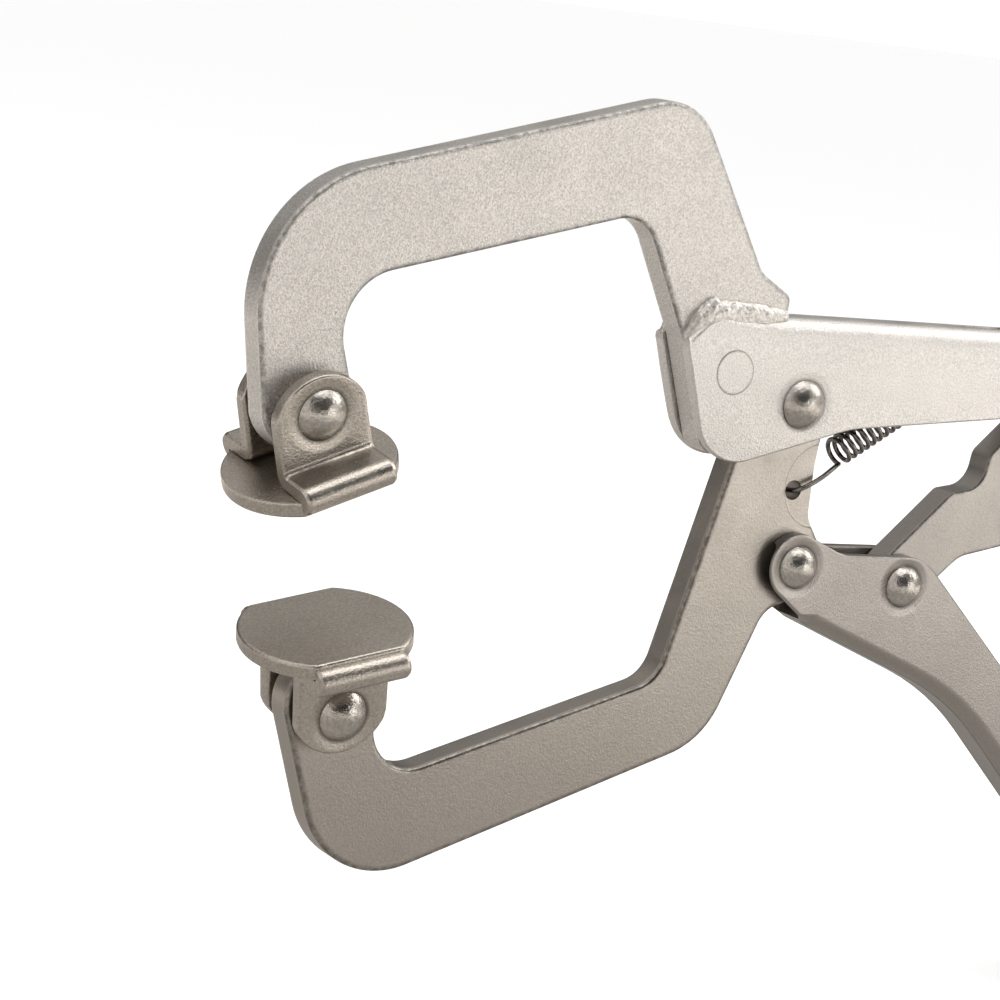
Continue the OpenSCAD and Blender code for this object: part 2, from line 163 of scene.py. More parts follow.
in_handle = turned(HANDLE_PIVOT, -OPEN_ANGLE)
link_at = (
    HANDLE_PIVOT[0] + LINK_PIVOT[0] * math.cos(OPEN_ANGLE) + LINK_PIVOT[1] * math.sin(OPEN_ANGLE),
    HANDLE_PIVOT[1] - LINK_PIVOT[0] * math.sin(OPEN_ANGLE) + LINK_PIVOT[1] * math.cos(OPEN_ANGLE),
)
link_run = (NOSE_CENTRE[0] - link_at[0], NOSE_CENTRE[1] - link_at[1])
link_length = math.hypot(*link_run)
in_link = turned(link_at, math.atan2(link_run[1], link_run[0]))
in_upper_pad = pad_frame(UPPER_PAD_PIVOT, UPPER_PAD_TILT, True)
in_lower_pad = pad_frame(LOWER_PAD_PIVOT, LOWER_PAD_TILT, False)


# ---------------------------------------------------------------- outlines

ARC_STEP = 4  # degrees between the points of a rounded corner


def rounded(corners):
    """An outline from corners [x, z, radius]."""
    out = []
    n = len(corners)
    for i, (x, z, r) in enumerate(corners):
        corner = Vector((x, z))
        if r == 0:
            out.append(corner)
            continue
        u = (Vector(corners[i - 1][:2]) - corner).normalized()
        v = (Vector(corners[(i + 1) % n][:2]) - corner).normalized()
        half = u.angle(v) / 2
        start = corner + u * r / math.tan(half)
        centre = corner + (u + v).normalized() * r / math.sin(half)
        side = 1 if u.y * v.x - u.x * v.y > 0 else -1
        first = math.atan2(start.y - centre.y, start.x - centre.x)
        sweep = side * (math.pi - 2 * half)
        steps = max(2, math.ceil(abs(math.degrees(sweep)) / ARC_STEP))
        for k in range(steps + 1):
            a = first + sweep * k / steps
            out.append(centre + r * Vector((math.cos(a), math.sin(a))))
    return out


def run(before, corners, after):
    """The part of an outline between two points, round its corners."""
    return [(p.x, p.y) for p in rounded([[*before, 0], *corners, [*after, 0]])[1:-1]]


def span(outline, x):
    """The lowest and highest height of an outline at x."""
    hits = []
    for i, p in enumerate(outline):
        q = outline[(i + 1) % len(outline)]
        if (p.x <= x) != (q.x <= x):
            hits.append(p.y + (q.y - p.y) * (x - p.x) / (q.x - p.x))
    return (min(hits), max(hits)) if hits else None


def arc(centre, r, a0, a1, steps=40):
    """Points round a centre from one angle to another."""
    out = []
    for k in range(steps + 1):
        a = math.radians(a0 + (a1 - a0) * k / steps)
        out.append((centre[0] + r * math.cos(a), centre[1] + r * math.sin(a)))
    return out


def circle(centre, r, sides):
    return arc(centre, r, 0, 360 - 360 / sides, sides - 1)


def ease(u):
    """Rises smoothly from 0 to 1 as u does, and stays level beyond."""
    u = min(1, max(0, u))
    return u * u * (3 - 2 * u)


def clean(outline):
    """Drops points that repeat the one before."""
    least = 0.02
    out = []
    for x, z in outline:
        if not out or math.hypot(x - out[-1][0], z - out[-1][1]) > least:
            out.append((x, z))
    if math.hypot(out[0][0] - out[-1][0], out[0][1] - out[-1][1]) < least:
        out.pop()
    return out


def inset(outline, depth):
    """The outline moved to its left by depth."""
    sharpest = 0.35  # keeps a sharp corner from shooting off
    out = []
    n = len(outline)
    for i in range(n):
        a, b, c = (Vector(outline[(i + k) % n]) for k in (-1, 0, 1))
        u = (b - a).normalized()
        v = (c - b).normalized()
        m = Vector((-u.y, u.x))
        w = Vector((-v.y, v.x))
        out.append(b + (m + w) * (depth / max(sharpest, 1 + m.dot(w))))
    return out


# ---------------------------------------------------------------- meshes

def skin(bm, rings):
    """Joins each ring of points to the next."""
    for a, b in zip(rings, rings[1:]):
        n = len(a)
        for k in range(n):
            bm.faces.new((a[k], a[(k + 1) % n], b[(k + 1) % n], b[k]))


def rolled_edge(flat, bevel):
    """A plate's edge up to its flat face: how far in, how high and how much painted shade. The burr gets a
    painted highlight.
    """
    side_band = 0.3
    face_band = 0.4
    burr_highlight = -0.5
    steps = [(0, flat - bevel - side_band, 0), (0, flat - bevel, burr_highlight)]
    for turn, edge_shade_and_highlight in ((22, 0.8), (45, 1), (68, 0.8), (90, 0.5)):
        a = math.radians(turn)
        steps.append((bevel * (1 - math.cos(a)), flat - bevel + bevel * math.sin(a), edge_shade_and_highlight))
    return steps + [(bevel + face_band, flat, 0)]


def slab(name, outlines, thickness, bevel, place):
    """A plate with rounded edges: the first outline is the outside, the others are holes."""
    bm = bmesh.new()
    rim = bm.verts.layers.float.new("rim")  # the materials read the edge's painted shade and highlight from here
    caps = ([], [])
    for i, outline in enumerate(outlines):
        outline = clean(outline)
        area = sum(p[0] * q[1] - q[0] * p[1] for p, q in zip(outline, outline[1:] + outline[:1]))
        if (area > 0) != (i == 0):
            outline.reverse()
        rings = []
        for side in (-1, 1):
            for depth, y, edge_shade_and_highlight in rolled_edge(thickness / 2, bevel)[::side]:
                ring = inset(outline, depth)
                verts = [bm.verts.new(place((q.x, side * y, q.y))) for q in ring]
                for v in verts:
                    v[rim] = edge_shade_and_highlight
                rings.append(verts)
                if depth > bevel:
                    caps[side > 0].append((ring, verts))
        skin(bm, rings)
    for cap in caps:
        verts = [v for _, ring_verts in cap for v in ring_verts]
        for tri in tessellate_polygon([[(q.x, q.y, 0) for q in ring] for ring, _ in cap]):
            corners = [verts[k] for k in tri]
            if len(set(corners)) == 3 and bm.faces.get(corners) is None:
                bm.faces.new(corners)
    return done(bm, name)


def loft(bm, places, profile, place):
    """Skins closed profiles of (y, z) points along X."""
    rings = [[bm.verts.new(place((x, y, z))) for y, z in profile(x)] for x in places]
    skin(bm, rings)
    bm.faces.new(rings[0])
    bm.faces.new(list(reversed(rings[-1])))


def tube(bm, path, radius, sides, place):
    """A round wire along a path."""
    points = [place(p) for p in path]
    across = Vector((0.1, 0.2, 1))
    rings = []
    for i, p in enumerate(points):
        ahead = (points[min(i + 1, len(points) - 1)] - points[max(i - 1, 0)]).normalized()
        across = (across - ahead * across.dot(ahead)).normalized()
        up = ahead.cross(across)
        ring = []
        for k in range(sides):
            a = 2 * math.pi * k / sides
            ring.append(bm.verts.new(p + radius * MM * (math.cos(a) * across + math.sin(a) * up)))
        rings.append(ring)
    skin(bm, rings)
    bm.faces.new(list(reversed(rings[0])))
    bm.faces.new(rings[-1])


def stations(x0, x1, count, even=False):
    """Places along X, closer together towards the ends unless they are even."""
    out = []
    for k in range(count + 1):
        u = k / count
        if not even:
            u = (1 - math.cos(math.pi * u)) / 2
        out.append(x0 + (x1 - x0) * u)
    return out


def done(bm, name):
    """The finished mesh, with its faces turned outwards."""
    bmesh.ops.recalc_face_normals(bm, faces=bm.faces)
    mesh = bpy.data.meshes.new(name)
    bm.to_mesh(mesh)
    bm.free()
    return mesh


def cut(mesh, cutter):
    """The mesh less the cutter."""
    objs = [bpy.data.objects.new(n, m) for n, m in (("cut_from", mesh), ("cut_by", cutter))]
    for obj in objs:
        bpy.context.scene.collection.objects.link(obj)
    mod = objs[0].modifiers.new("cut", "BOOLEAN")
    mod.operation = "DIFFERENCE"
    mod.object = objs[1]
    mod.solver = "EXACT"
    bpy.context.view_layer.update()
    out = bpy.data.meshes.new_from_object(objs[0].evaluated_get(bpy.context.evaluated_depsgraph_get()))
    for obj in objs:
        bpy.data.objects.remove(obj)
    return out


def piece(name, mesh, body, material, nodes, weighted=True, smooth=32):
    """Puts a mesh in the scene, on its body and in the place of its CAD nodes."""
    for face in mesh.polygons:
        face.use_smooth = True
    mesh.set_sharp_from_angle(angle=math.radians(smooth))
    obj = bpy.data.objects.new(name, mesh)
    bpy.context.scene.collection.objects.link(obj)
    mesh.materials.clear()
    mesh.materials.append(material)
    if weighted:
        mod = obj.modifiers.new("normals", "WEIGHTED_NORMAL")
        mod.keep_sharp = True
    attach(obj, body)
    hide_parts(*nodes)


# ---------------------------------------------------------------- shader nodes

def add_node(tree, kind, inputs, operation=None):
    """A shader node, each input set to a value or linked to another node's output."""
    node = tree.nodes.new("ShaderNode" + kind)
    if operation:
        node.operation = operation
    for key, value in inputs.items():
        if isinstance(value, bpy.types.NodeSocket):
            tree.links.new(value, node.inputs[key])
        else:
            node.inputs[key].default_value = value
    return node


def spread(tree, value, old, new, curve="LINEAR"):
    """Maps a value's old range to a new one."""
    node = add_node(tree, "MapRange", {
        "Value": value, "From Min": old[0], "From Max": old[1], "To Min": new[0], "To Max": new[1],
    })
    node.interpolation_type = curve
    return node.outputs["Result"]


def away_from(tree, place, point):
    return add_node(tree, "VectorMath", {0: place, 1: point}, "DISTANCE").outputs["Value"]


def facing(tree, direction, axis):
    return add_node(tree, "VectorMath", {0: direction, 1: axis}, "DOT_PRODUCT").outputs["Value"]


def calculate(tree, operation, a, b):
    return add_node(tree, "Math", {0: a, 1: b}, operation).outputs[0]


def times(tree, a, b):
    return calculate(tree, "MULTIPLY", a, b)


# ---------------------------------------------------------------- materials

MIDDLE = (0.3, 0.7)  # the range that holds nearly all of a noise


def metal(name, color, rough, grain, grain_size, speckle, dark, wave=0.0, heads=(), seams=()):
    """Nickel plate over blasted steel: fine grain in the bump, mottled roughness, soft random tone, painted
    shade and highlight on rolled edges and painted shade round rivet heads.

    Heads and seams are (centre, radius) of rivet heads and of round pieces that are let in flush.
    """
    mat = bpy.data.materials.new(name)
    mat.use_nodes = True
    tree = mat.node_tree
    tree.nodes.clear()
    place = add_node(tree, "TexCoord", {}).outputs["Object"]

    def grains(scale, detail, roughness=0.6):
        inputs = {"Vector": place, "Scale": scale, "Detail": detail, "Roughness": roughness}
        return add_node(tree, "TexNoise", inputs).outputs["Fac"]

    def bumped(height, strength, distance, normal=None):
        inputs = {"Height": height, "Strength": strength, "Distance": distance}
        if normal is not None:
            inputs["Normal"] = normal
        return add_node(tree, "Bump", inputs).outputs[0]

    fine = grains(grain_size, 3)
    coarse = grains(90, 4)
    cloud = grains(22, 5, 0.55)
    # Colour: soft clouds, then fine speckle
    shade = spread(tree, cloud, MIDDLE, (1 - dark, 1.0))
    dots = spread(tree, fine, MIDDLE, (1 - speckle, 1 + speckle * 0.4))
    # Painted shade on rolled edges, made ragged by noise, and a painted highlight on the burr beside it
    rim = add_node(tree, "Attribute", {})
    rim.attribute_name = "rim"
    ragged = times(tree, rim.outputs["Fac"], spread(tree, grains(800, 2), (0.38, 0.58), (0.35, 1.0)))
    edge_shade_and_highlight = spread(tree, ragged, (0, 1), (1, 0.42))
    edge_shade_and_highlight.node.clamp = False
    tone = times(tree, times(tree, shade, dots), edge_shade_and_highlight)
    # Painted shade in a ring at each rivet head's foot, and a fine dark joint line round each flush piece
    for point, radius in heads:
        foot_shade = spread(tree, away_from(tree, place, point), (radius, radius * 1.17), (0.30, 1.0))
        tone = times(tree, tone, foot_shade)
    for point, radius in seams:
        distance = away_from(tree, place, point)
        line = add_node(tree, "Math", {0: distance, 1: radius, 2: 0.13 * MM}, "COMPARE").outputs[0]
        tone = times(tree, tone, spread(tree, line, (0, 1), (1, 0.62)))
    tint = add_node(tree, "VectorMath", {0: color, "Scale": tone}, "SCALE").outputs[0]

    normal = bumped(fine, grain, 0.2 * MM)
    # The sheet is pressed down a little around each rivet head
    for point, radius in heads:
        distance = away_from(tree, place, point)
        rise = spread(tree, distance, (radius * 0.9, radius * 1.5), (0, 1), "SMOOTHSTEP")
        normal = bumped(rise, 1.0, 0.35 * MM, normal)
    if wave:
        normal = bumped(cloud, wave, 1.2 * MM, normal)
    shader = add_node(tree, "BsdfPrincipled", {
        "Base Color": tint,
        "Metallic": 1.0,
        "Roughness": spread(tree, coarse, MIDDLE, (rough * 0.85, rough * 1.2)),
        "Normal": normal,
    })
    add_node(tree, "OutputMaterial", {0: shader.outputs[0]})
    return mat


def both_ends(place, *spots):
    """The (centre, radius) of both ends of round pieces at (x, z), each end half from the middle plane."""
    return [(place((x, side * half, z)), r * MM) for x, z, half, r in spots for side in (-1, 1)]


BLASTED = {"grain": 0.8, "grain_size": 2900, "wave": 0.04}
WORN = {"rough": 0.34, "grain": 0.30, "grain_size": 2600, "speckle": 0.12, "wave": 0.08}

SATIN = metal("satin_nickel", (0.76, 0.73, 0.695), **BLASTED, rough=0.38, speckle=0.34, dark=0.06)
HANDLE = metal(
    "handle_nickel", (0.79, 0.765, 0.735), **BLASTED, rough=0.36, speckle=0.26, dark=0.05,
    heads=both_ends(in_design, (*MAIN_PIVOT, HANDLE_HALF, MAIN_HEAD_R)),
    seams=both_ends(in_design, (*PIN_PLACE, PIN_HALF, PIN_R)),
)
coin_floor = MOVING_BAR_T / 2 - COIN_DEPTH
SMOOTH = metal(
    "smooth_nickel", (0.45, 0.415, 0.375), **WORN, dark=0.10,
    seams=[(in_design((COIN_PLACE[0], -coin_floor, COIN_PLACE[1])), (COIN_R + 0.02) * MM)],
)
GRIP = metal(
    "grip_nickel", (0.385, 0.36, 0.335), **WORN, dark=0.08,
    heads=both_ends(
        in_handle, (0, 0, LOWER_HALF, HEAD_R), (*LINK_PIVOT, LOWER_HALF, HEAD_R),
        (*LEVER_PIVOT, LOWER_HALF, LEVER_HEAD_R),
    ),
)
UPPER_PAD, LOWER_PAD = (
    metal(
        name, (0.58, 0.53, 0.47), rough=0.30, grain=0.45, grain_size=2400, speckle=0.30, dark=0.20,
        wave=0.12,
        heads=both_ends(place, (0, 0, EAR_GAP + EAR_T, PAD_HEAD_R)),
    )
    for name, place in (("pad_nickel_upper", in_upper_pad), ("pad_nickel_lower", in_lower_pad))
)
RIVET = metal("rivet_nickel", (0.56, 0.525, 0.48), rough=0.27, grain=0.55, grain_size=1500, speckle=0.24,
              dark=0.25, wave=0.08)
SCREW = metal("screw_steel", (0.58, 0.56, 0.53), rough=0.30, grain=0.20, grain_size=1800, speckle=0.08,
              dark=0.10)
WELD = metal("weld_bead", (0.78, 0.75, 0.71), rough=0.45, grain=1.0, grain_size=1700, speckle=0.35,
             dark=0.05, wave=0.1)
SPRING = metal("spring_steel", (0.22, 0.205, 0.19), rough=0.26, grain=0.15, grain_size=1800, speckle=0.10,
               dark=0.2)

SLOTS = {
    "satin_nickel": SATIN, "smooth_nickel": SMOOTH, "pad_nickel": UPPER_PAD, "rivet_nickel": RIVET,
    "screw_steel": SCREW, "weld": WELD, "spring_steel": SPRING,
}
for sub in frame["record"]["subparts"]:
    node = frame["nodes"][sub["node"]]
    node.data.materials.clear()
    node.data.materials.append(SLOTS[sub["material_slot"]])


# ---------------------------------------------------------------- jaws

upper_tip = arc(UPPER_PAD_PIVOT, TIP_R, 0, -162)
upper_outline = run(upper_tip[-1], [
    [-115.2, 30.3, 24], [-30.8, 53.38, 11], [-11.6, 23.2, 5], [-4.5, 19.2, 1.6], [-4.5, HANDLE_TOP, 0],
    [-8.1, HANDLE_TOP, 0], [-8.1, 0.3, 0], [-14.3, -10, 0.8], [-19.4, -10, 4], [-27, 10.6, 6],
    [-38.5, 32, 7], [-98.4, 16.1, 10.6],
], upper_tip[0]) + upper_tip
piece(
    "jaw_plate_upper",
    slab("jaw_plate_upper", [upper_outline], BAR_T, bevel=0.7, place=in_design),
    "fixed_side", SATIN, ["fixed_jaw"],
)

hub = arc(MAIN_PIVOT, HUB_R, -33, 165)
lower_tip = arc(LOWER_PAD_PIVOT, TIP_R, -8, 195)
lower_jaw_outline = (
    hub
    + run(hub[-1], [[-22, -52.1, 7], [-78, -69.7, 8]], lower_tip[0])
    + lower_tip
    + run(lower_tip[-1], [
        [-85.5, -90.5, 17], [-9.5, -63.9, 16], [0.4, -39, 6], [11.2, -35.6, 6.4], [11.2, -27.2, 5],
        [7.2, -21.5, 5], [7.0, -11.5, 5],
    ], hub[0])
)

# The coined half-moon around the spring's hole, cut from the side that the photo shows
RECESS_T = 4.0
recess = slab(
    "recess", [circle(COIN_PLACE, COIN_R, 60)], RECESS_T, bevel=0.3,
    place=lambda p: in_design((p[0], p[1] - coin_floor - RECESS_T / 2, p[2])),
)
lower_outlines = [lower_jaw_outline, circle(SPRING_HOLE, SPRING_HOLE_R, 36)]
lower_jaw = slab("jaw_plate_lower", lower_outlines, MOVING_BAR_T, bevel=0.8, place=in_design)
lower_jaw = cut(lower_jaw, recess)
# Its edge isn't rolled, so it gets no painted edge shade
coin_centre = in_design((COIN_PLACE[0], -2.6, COIN_PLACE[1]))
for v in lower_jaw.vertices:
    if (v.co - coin_centre).length < (COIN_R + 0.3) * MM:
        lower_jaw.attributes["rim"].data[v.index].value = 0
piece("jaw_plate_lower", lower_jaw, "moving_jaw_body", SMOOTH, ["moving_jaw"])


# ---------------------------------------------------------------- fixed handle

handle_outline = rounded([
    [-27.6, 10.5, 1.5], [-22, HANDLE_TOP, 4], [104, HANDLE_TOP, 0], [104, 0, 0], [60, 0, 40],
    [12, -4.3, 25], [-19.1, -13.5, 10],
])


def flare(x, front, back):
    """A half width that grows from the handle's sides to its barrel."""
    return front + (back - front) * ease((x - FLARE_START) / FLARE_L)


def spine_plate(side):
    """One side of the fixed handle: outer face, rounded bend at the top, small radius below."""
    crown = 0.24
    crown_middle = 4
    crown_reach = 8
    nose_bend_start = -25
    nose_bend_l = 15

    def profile(x):
        low, high = span(handle_outline, x)
        out = flare(x, HANDLE_HALF, BARREL_R)
        inner = flare(x, HANDLE_INNER, BARREL_INNER)
        edge = min(0.45, (high - low) / 6)
        if x > HANDLE_FRONT:
            r = BEND_R
            inmost, top = 0, high
            under = [(out - r, high - PLATE_T), (inner, high - PLATE_T)]
        else:
            grow = ease((x - nose_bend_start) / nose_bend_l)
            r = min(NOSE_BEND_R + (BEND_R - NOSE_BEND_R) * grow, (high - low) / 2.2)
            inmost = inner
            top = high - r + math.sqrt(max(0, r * r - max(0, inner - out + r) ** 2))
            under = [(inner, top), (inner, top - 0.1)]
        points = [(max(y, inmost), min(z, top)) for y, z in arc((out - r, high - r), r, 0, 90, 9)]
        points += under + [(inner, low + edge)]
        points += arc((inner + edge, low + edge), edge, 180, 270, 3)
        points += arc((out - edge, low + edge), edge, 270, 360, 3)
        points += [(out, low + edge + (high - r - low - edge) * k / 10) for k in range(1, 10)]
        # The face is a little crowned, from the bend down to its lower edge
        crowned = []
        for y, z in points:
            share = max(0, y - out + r) / r if z >= high - r else float(y > out - edge - 0.01)
            fall = crown * ((min(z, high - r) - crown_middle) / crown_reach) ** 2
            crowned.append((side * (y - share * fall), z))
        return crowned
    return profile


def spine_flat(x):
    """The flat of the spine, between its bends."""
    high = span(handle_outline, x)[1]
    half = flare(x, HANDLE_HALF, BARREL_R) - BEND_R
    return [(-half, high - PLATE_T), (half, high - PLATE_T), (half, high), (-half, high)]


piece(
    "pin", slab("pin", [circle(PIN_PLACE, PIN_R, 72)], 2 * PIN_HALF, bevel=0.12, place=in_design),
    "fixed_side", HANDLE, ["jaw_fixing_pin"],
)

bm = bmesh.new()
plate_places = stations(HANDLE_NOSE, HANDLE_FRONT - 0.02, 40)
plate_places += stations(HANDLE_FRONT, HANDLE_END, 120, even=True)
for side in (-1, 1):
    loft(bm, plate_places, spine_plate(side), in_design)
# The spine is open ahead of the root of the tongue, which is lanced out of it for the spring
for x0, x1 in ((HANDLE_FRONT, SLOT_START), (TONGUE_ROOT[0], HANDLE_END)):
    loft(bm, stations(x0, x1, int(x1 - x0), even=True), spine_flat, in_design)
tongue = [
    (across * TONGUE_HALF_W, up * TONGUE_HALF_T) for across, up in ((-1, -1), (1, -1), (1, 1), (-1, 1))
]
loft(bm, [-TONGUE_L, TONGUE_LAP], lambda x: tongue, turned(TONGUE_ROOT, TONGUE_ANGLE))
# The barrel: outside, mouth and bore as (x, radius), turned about the screw's axis
barrel = [
    (100.5, 5.0), (100.5, BARREL_R), (127.2, BARREL_R), (127.75, 7.55), (128, 7.0), (128, 5.5),
    (127.4, BORE_R), (101, BORE_R),
]
barrel_rings = [
    [bm.verts.new(in_design((x, y, z))) for y, z in circle((0, SCREW_Z), r, 72)]
    for x, r in barrel
]
skin(bm, barrel_rings + barrel_rings[:1])
piece(
    "channel_upper", done(bm, "channel_upper"),
    "fixed_side", HANDLE, ["fixed_handle"],
)


# ---------------------------------------------------------------- weld

# Along the bead: x, z and radius
BEAD = [
    (-27.4, 10.9, 0.7), (-26.4, 12.2, 1.7), (-25.2, 13.6, 2.3), (-22.4, 15.6, 2.5), (-12, 15.2, 2.3),
    (-5.2, 15.6, 1.1),
]
BEAD_SIDES = 64
BEAD_STEP = 0.25
BEAD_OUT = 3.5  # from the middle plane to the bead's axis
BEAD_SQUASH = 0.6
LUMPS = ((0.16, 0.8), (0.10, 1.9), (0.05, 4))  # height and fineness


def bead_ring(bm, x, z, r, side):
    """A lumpy ring round the bead."""
    ring = []
    for k in range(BEAD_SIDES):
        a = 2 * math.pi * k / BEAD_SIDES
        spot = Vector((x * 0.55, side * 7 + math.cos(a) * 1.3, z * 0.55 + math.sin(a) * 1.3))
        lumpy = r * (1 + sum(height * noise.noise(spot * fineness) for height, fineness in LUMPS))
        y = side * (BEAD_OUT + BEAD_SQUASH * lumpy * math.cos(a))
        ring.append(bm.verts.new(in_design((x, y, z + lumpy * math.sin(a)))))
    return ring


bm = bmesh.new()
for side in (-1, 1):
    rings = []
    for (x0, z0, r0), (x1, z1, r1) in zip(BEAD, BEAD[1:]):
        count = int(math.hypot(x1 - x0, z1 - z0) / BEAD_STEP)
        for k in range(count):
            u = k / count
            rings.append(bead_ring(bm, x0 + (x1 - x0) * u, z0 + (z1 - z0) * u, r0 + (r1 - r0) * u, side))
    skin(bm, rings)
    for ring in (rings[0], rings[-1]):
        middle = bm.verts.new(sum((v.co for v in ring), Vector()) / BEAD_SIDES)
        for k in range(BEAD_SIDES):
            bm.faces.new((ring[k], ring[(k + 1) % BEAD_SIDES], middle))
piece("weld", done(bm, "weld"), "fixed_side", WELD, ["jaw_weld"], weighted=False, smooth=180)


# ---------------------------------------------------------------- lower handle

lower_outline = rounded([
    [-2.1, 5.8, 0], [6.5, 8.6, 12], [21.5, 21, 11], [54, 19.9, 80], [100, 20.6, 120], [145.97, 18.8, 4.5],
    [145.97, 6, 6], [118, 3.8, 100], [50, 7.8, 60], [11, -5.4, 9], [1, -6.12, 0],
])


def lower_span(x):
    """The handle's lowest and highest height at x, with the eye around its pivot."""
    low, high = span(lower_outline, x) or (0, 0)
    if abs(x) < LOWER_EYE_R:
        h = math.sqrt(LOWER_EYE_R * LOWER_EYE_R - x * x)
        low = min(low, -h)
        high = max(high, h)
    return low, high


def lower_plate(side):
    """One side of the lower handle: small radii at the top, and the web's bend below."""
    def profile(x):
        low, high = lower_span(x)
        edge = min(0.5, (high - low) / 6)
        # The bend starts behind the eye
        grow = min(1, max(0, (x - 7.5) / 3))
        r = min(0.5 + (LOWER_BEND_R - 0.5) * grow, (high - low) / 3)
        points = arc((LOWER_HALF - edge, high - edge), edge, 0, 90, 4)
        points += arc((LOWER_INNER + edge, high - edge), edge, 90, 180, 4)
        bend = arc((LOWER_HALF - r, low + r), r, 270, 360, 10)
        points += [(max(y, LOWER_INNER), z) for y, z in bend]
        return [(side * y, z) for y, z in points]
    return profile


def lower_web(x):
    """The web between the sides, which takes in the first part of their bends."""
    low = lower_span(x)[0]
    half = LOWER_INNER
    flat = LOWER_HALF - LOWER_BEND_R
    between = (half + flat) / 2
    edge = low + LOWER_BEND_R - math.sqrt(LOWER_BEND_R ** 2 - (half - flat) ** 2)
    return [
        (-half, edge), (-between, low + 0.02), (-flat, low), (flat, low), (between, low + 0.02),
        (half, edge), (half, low + LOWER_PLATE_T), (-half, low + LOWER_PLATE_T),
    ]


bm = bmesh.new()
side_places = stations(0.01 - LOWER_EYE_R, 12, 70)
side_places += stations(12.5, 135, 110, even=True)
side_places += stations(135.5, LOWER_END, 30)
for side in (-1, 1):
    loft(bm, side_places, lower_plate(side), in_handle)
web_places = stations(9.4, 135, 90, even=True) + stations(135.5, LOWER_END - 0.05, 24)
loft(bm, web_places, lower_web, in_handle)
piece(
    "channel_lower", done(bm, "channel_lower"),
    "lower_handle_body", GRIP, ["lower_handle"],
)


# ---------------------------------------------------------------- toggle link

link_eye = arc((0, 0), LINK_EYE_R, 100, 280)
link_nose = arc((link_length, 0), LINK_NOSE_R, -90, 90)
link_outline = (
    link_eye
    + run(link_eye[-1], [
        [4, -6.2, 3], [14.5, -6.8, 7], [27.5, -15, 6], [38, -9.5, 9], [50, -4.8, 12],
    ], link_nose[0])
    + link_nose
    + run(link_nose[-1], [[50, 4.8, 20], [31, 5, 3], [26, 1, 5], [20, 5.2, 2]], link_eye[0])
)
piece(
    "toggle", slab("toggle", [link_outline], LINK_T, bevel=0.4, place=in_link),
    "toggle_link_body", GRIP, ["toggle_link"],
)


# ---------------------------------------------------------------- pads

def pad_disc(bm, place):
    """The disc, as rings around its axis, cut by two flats."""
    turns = 144
    edge = 0.7
    edge_steps = 5
    middle = 4  # where the flat faces start

    def ring(shrink, z):
        scale = (PAD_R - shrink) / PAD_R
        out = []
        for k in range(turns):
            a = 2 * math.pi * k / turns
            y = PAD_R * math.sin(a)
            if abs(y) > PAD_FLAT:
                y = math.copysign(PAD_FLAT - shrink * 0.8, y)
            else:
                y *= scale
            out.append(bm.verts.new(place((PAD_R * math.cos(a) * scale, y, z))))
        return out

    near, far = PAD_DROP, PAD_DROP + PAD_T
    rings = [
        ring(middle, near), ring(0.5, near), ring(0.15, near + 0.15), ring(0, near + 0.5),
        ring(0, far - edge),
    ]
    for k in range(1, edge_steps + 1):
        a = math.radians(90 * k / edge_steps)
        rings.append(ring(edge * (1 - math.cos(a)), far - edge + edge * math.sin(a)))
    rings.append(ring(middle, far))
    skin(bm, rings)
    bm.faces.new(list(reversed(rings[0])))
    bm.faces.new(rings[-1])


def pad_tab(side):
    """A tab folded back over the disc and bent down to a round-ended ear, pinched at its sides."""
    inside_r = 2.6
    root_r = 1.0
    end_r = 0.5
    leaf = PAD_DROP - PAD_T
    ear_out = EAR_GAP + EAR_T

    def profile(x):
        end = EAR_RISE - math.sqrt(max(0, EAR_R ** 2 - x * x))
        pinch = 0.35 * max(0, (abs(x) / EAR_HALF - 0.93) / 0.07)
        ear_in = EAR_GAP + pinch
        points = arc((PAD_FLAT, leaf + FOLD_R), FOLD_R - pinch, 90, -90, 14)
        points += [(ear_out + root_r, leaf + pinch)]
        points += arc((ear_out + root_r, leaf + pinch - root_r), root_r, 90, 180, 4)
        points += arc((ear_out - pinch - end_r, end + end_r), end_r, 0, -90, 3)
        points += arc((ear_in + end_r, end + end_r), end_r, 270, 180, 3)
        points += [(ear_in, PAD_DROP - inside_r)]
        points += arc((EAR_GAP + inside_r, PAD_DROP - inside_r), inside_r - pinch, 180, 90, 6)
        points += [(PAD_FLAT, PAD_DROP - 0.02)]
        return [(side * y, z) for y, z in points]
    return profile


def pad_mesh(name, place):
    bm = bmesh.new()
    pad_disc(bm, place)
    for side in (-1, 1):
        loft(bm, stations(-EAR_HALF, EAR_HALF, 48), pad_tab(side), place)
    return done(bm, name)


piece(
    "pad_upper", pad_mesh("pad_upper", in_upper_pad),
    "fixed_pad_body", UPPER_PAD, ["fixed_jaw_pad"],
)
piece(
    "pad_lower", pad_mesh("pad_lower", in_lower_pad),
    "moving_pad_body", LOWER_PAD, ["moving_jaw_pad"],
)


# ---------------------------------------------------------------- return spring

STEPS_PER_TURN = 28
coil_start = Vector((13.2, 0, -9.6))
coil_end = Vector((41.5, 0, 8.0))
along = (coil_end - coil_start).normalized()
lift = Vector((-along.z, 0, along.x))
coil_steps = COIL_TURNS * STEPS_PER_TURN
coil = []
for i in range(coil_steps + 1):
    a = 2 * math.pi * i / STEPS_PER_TURN - math.pi / 2
    base = coil_start + (coil_end - coil_start) * (i / coil_steps)
    coil.append(base + COIL_R * (math.cos(a) * Vector((0, 1, 0)) + math.sin(a) * lift))


def soften(points):
    """Rounds the corners of an open path."""
    for _ in range(2):
        out = [points[0]]
        for p, q in zip(points, points[1:]):
            out += [p + (q - p) * 0.25, p + (q - p) * 0.75]
        points = out + [points[-1]]
    return points


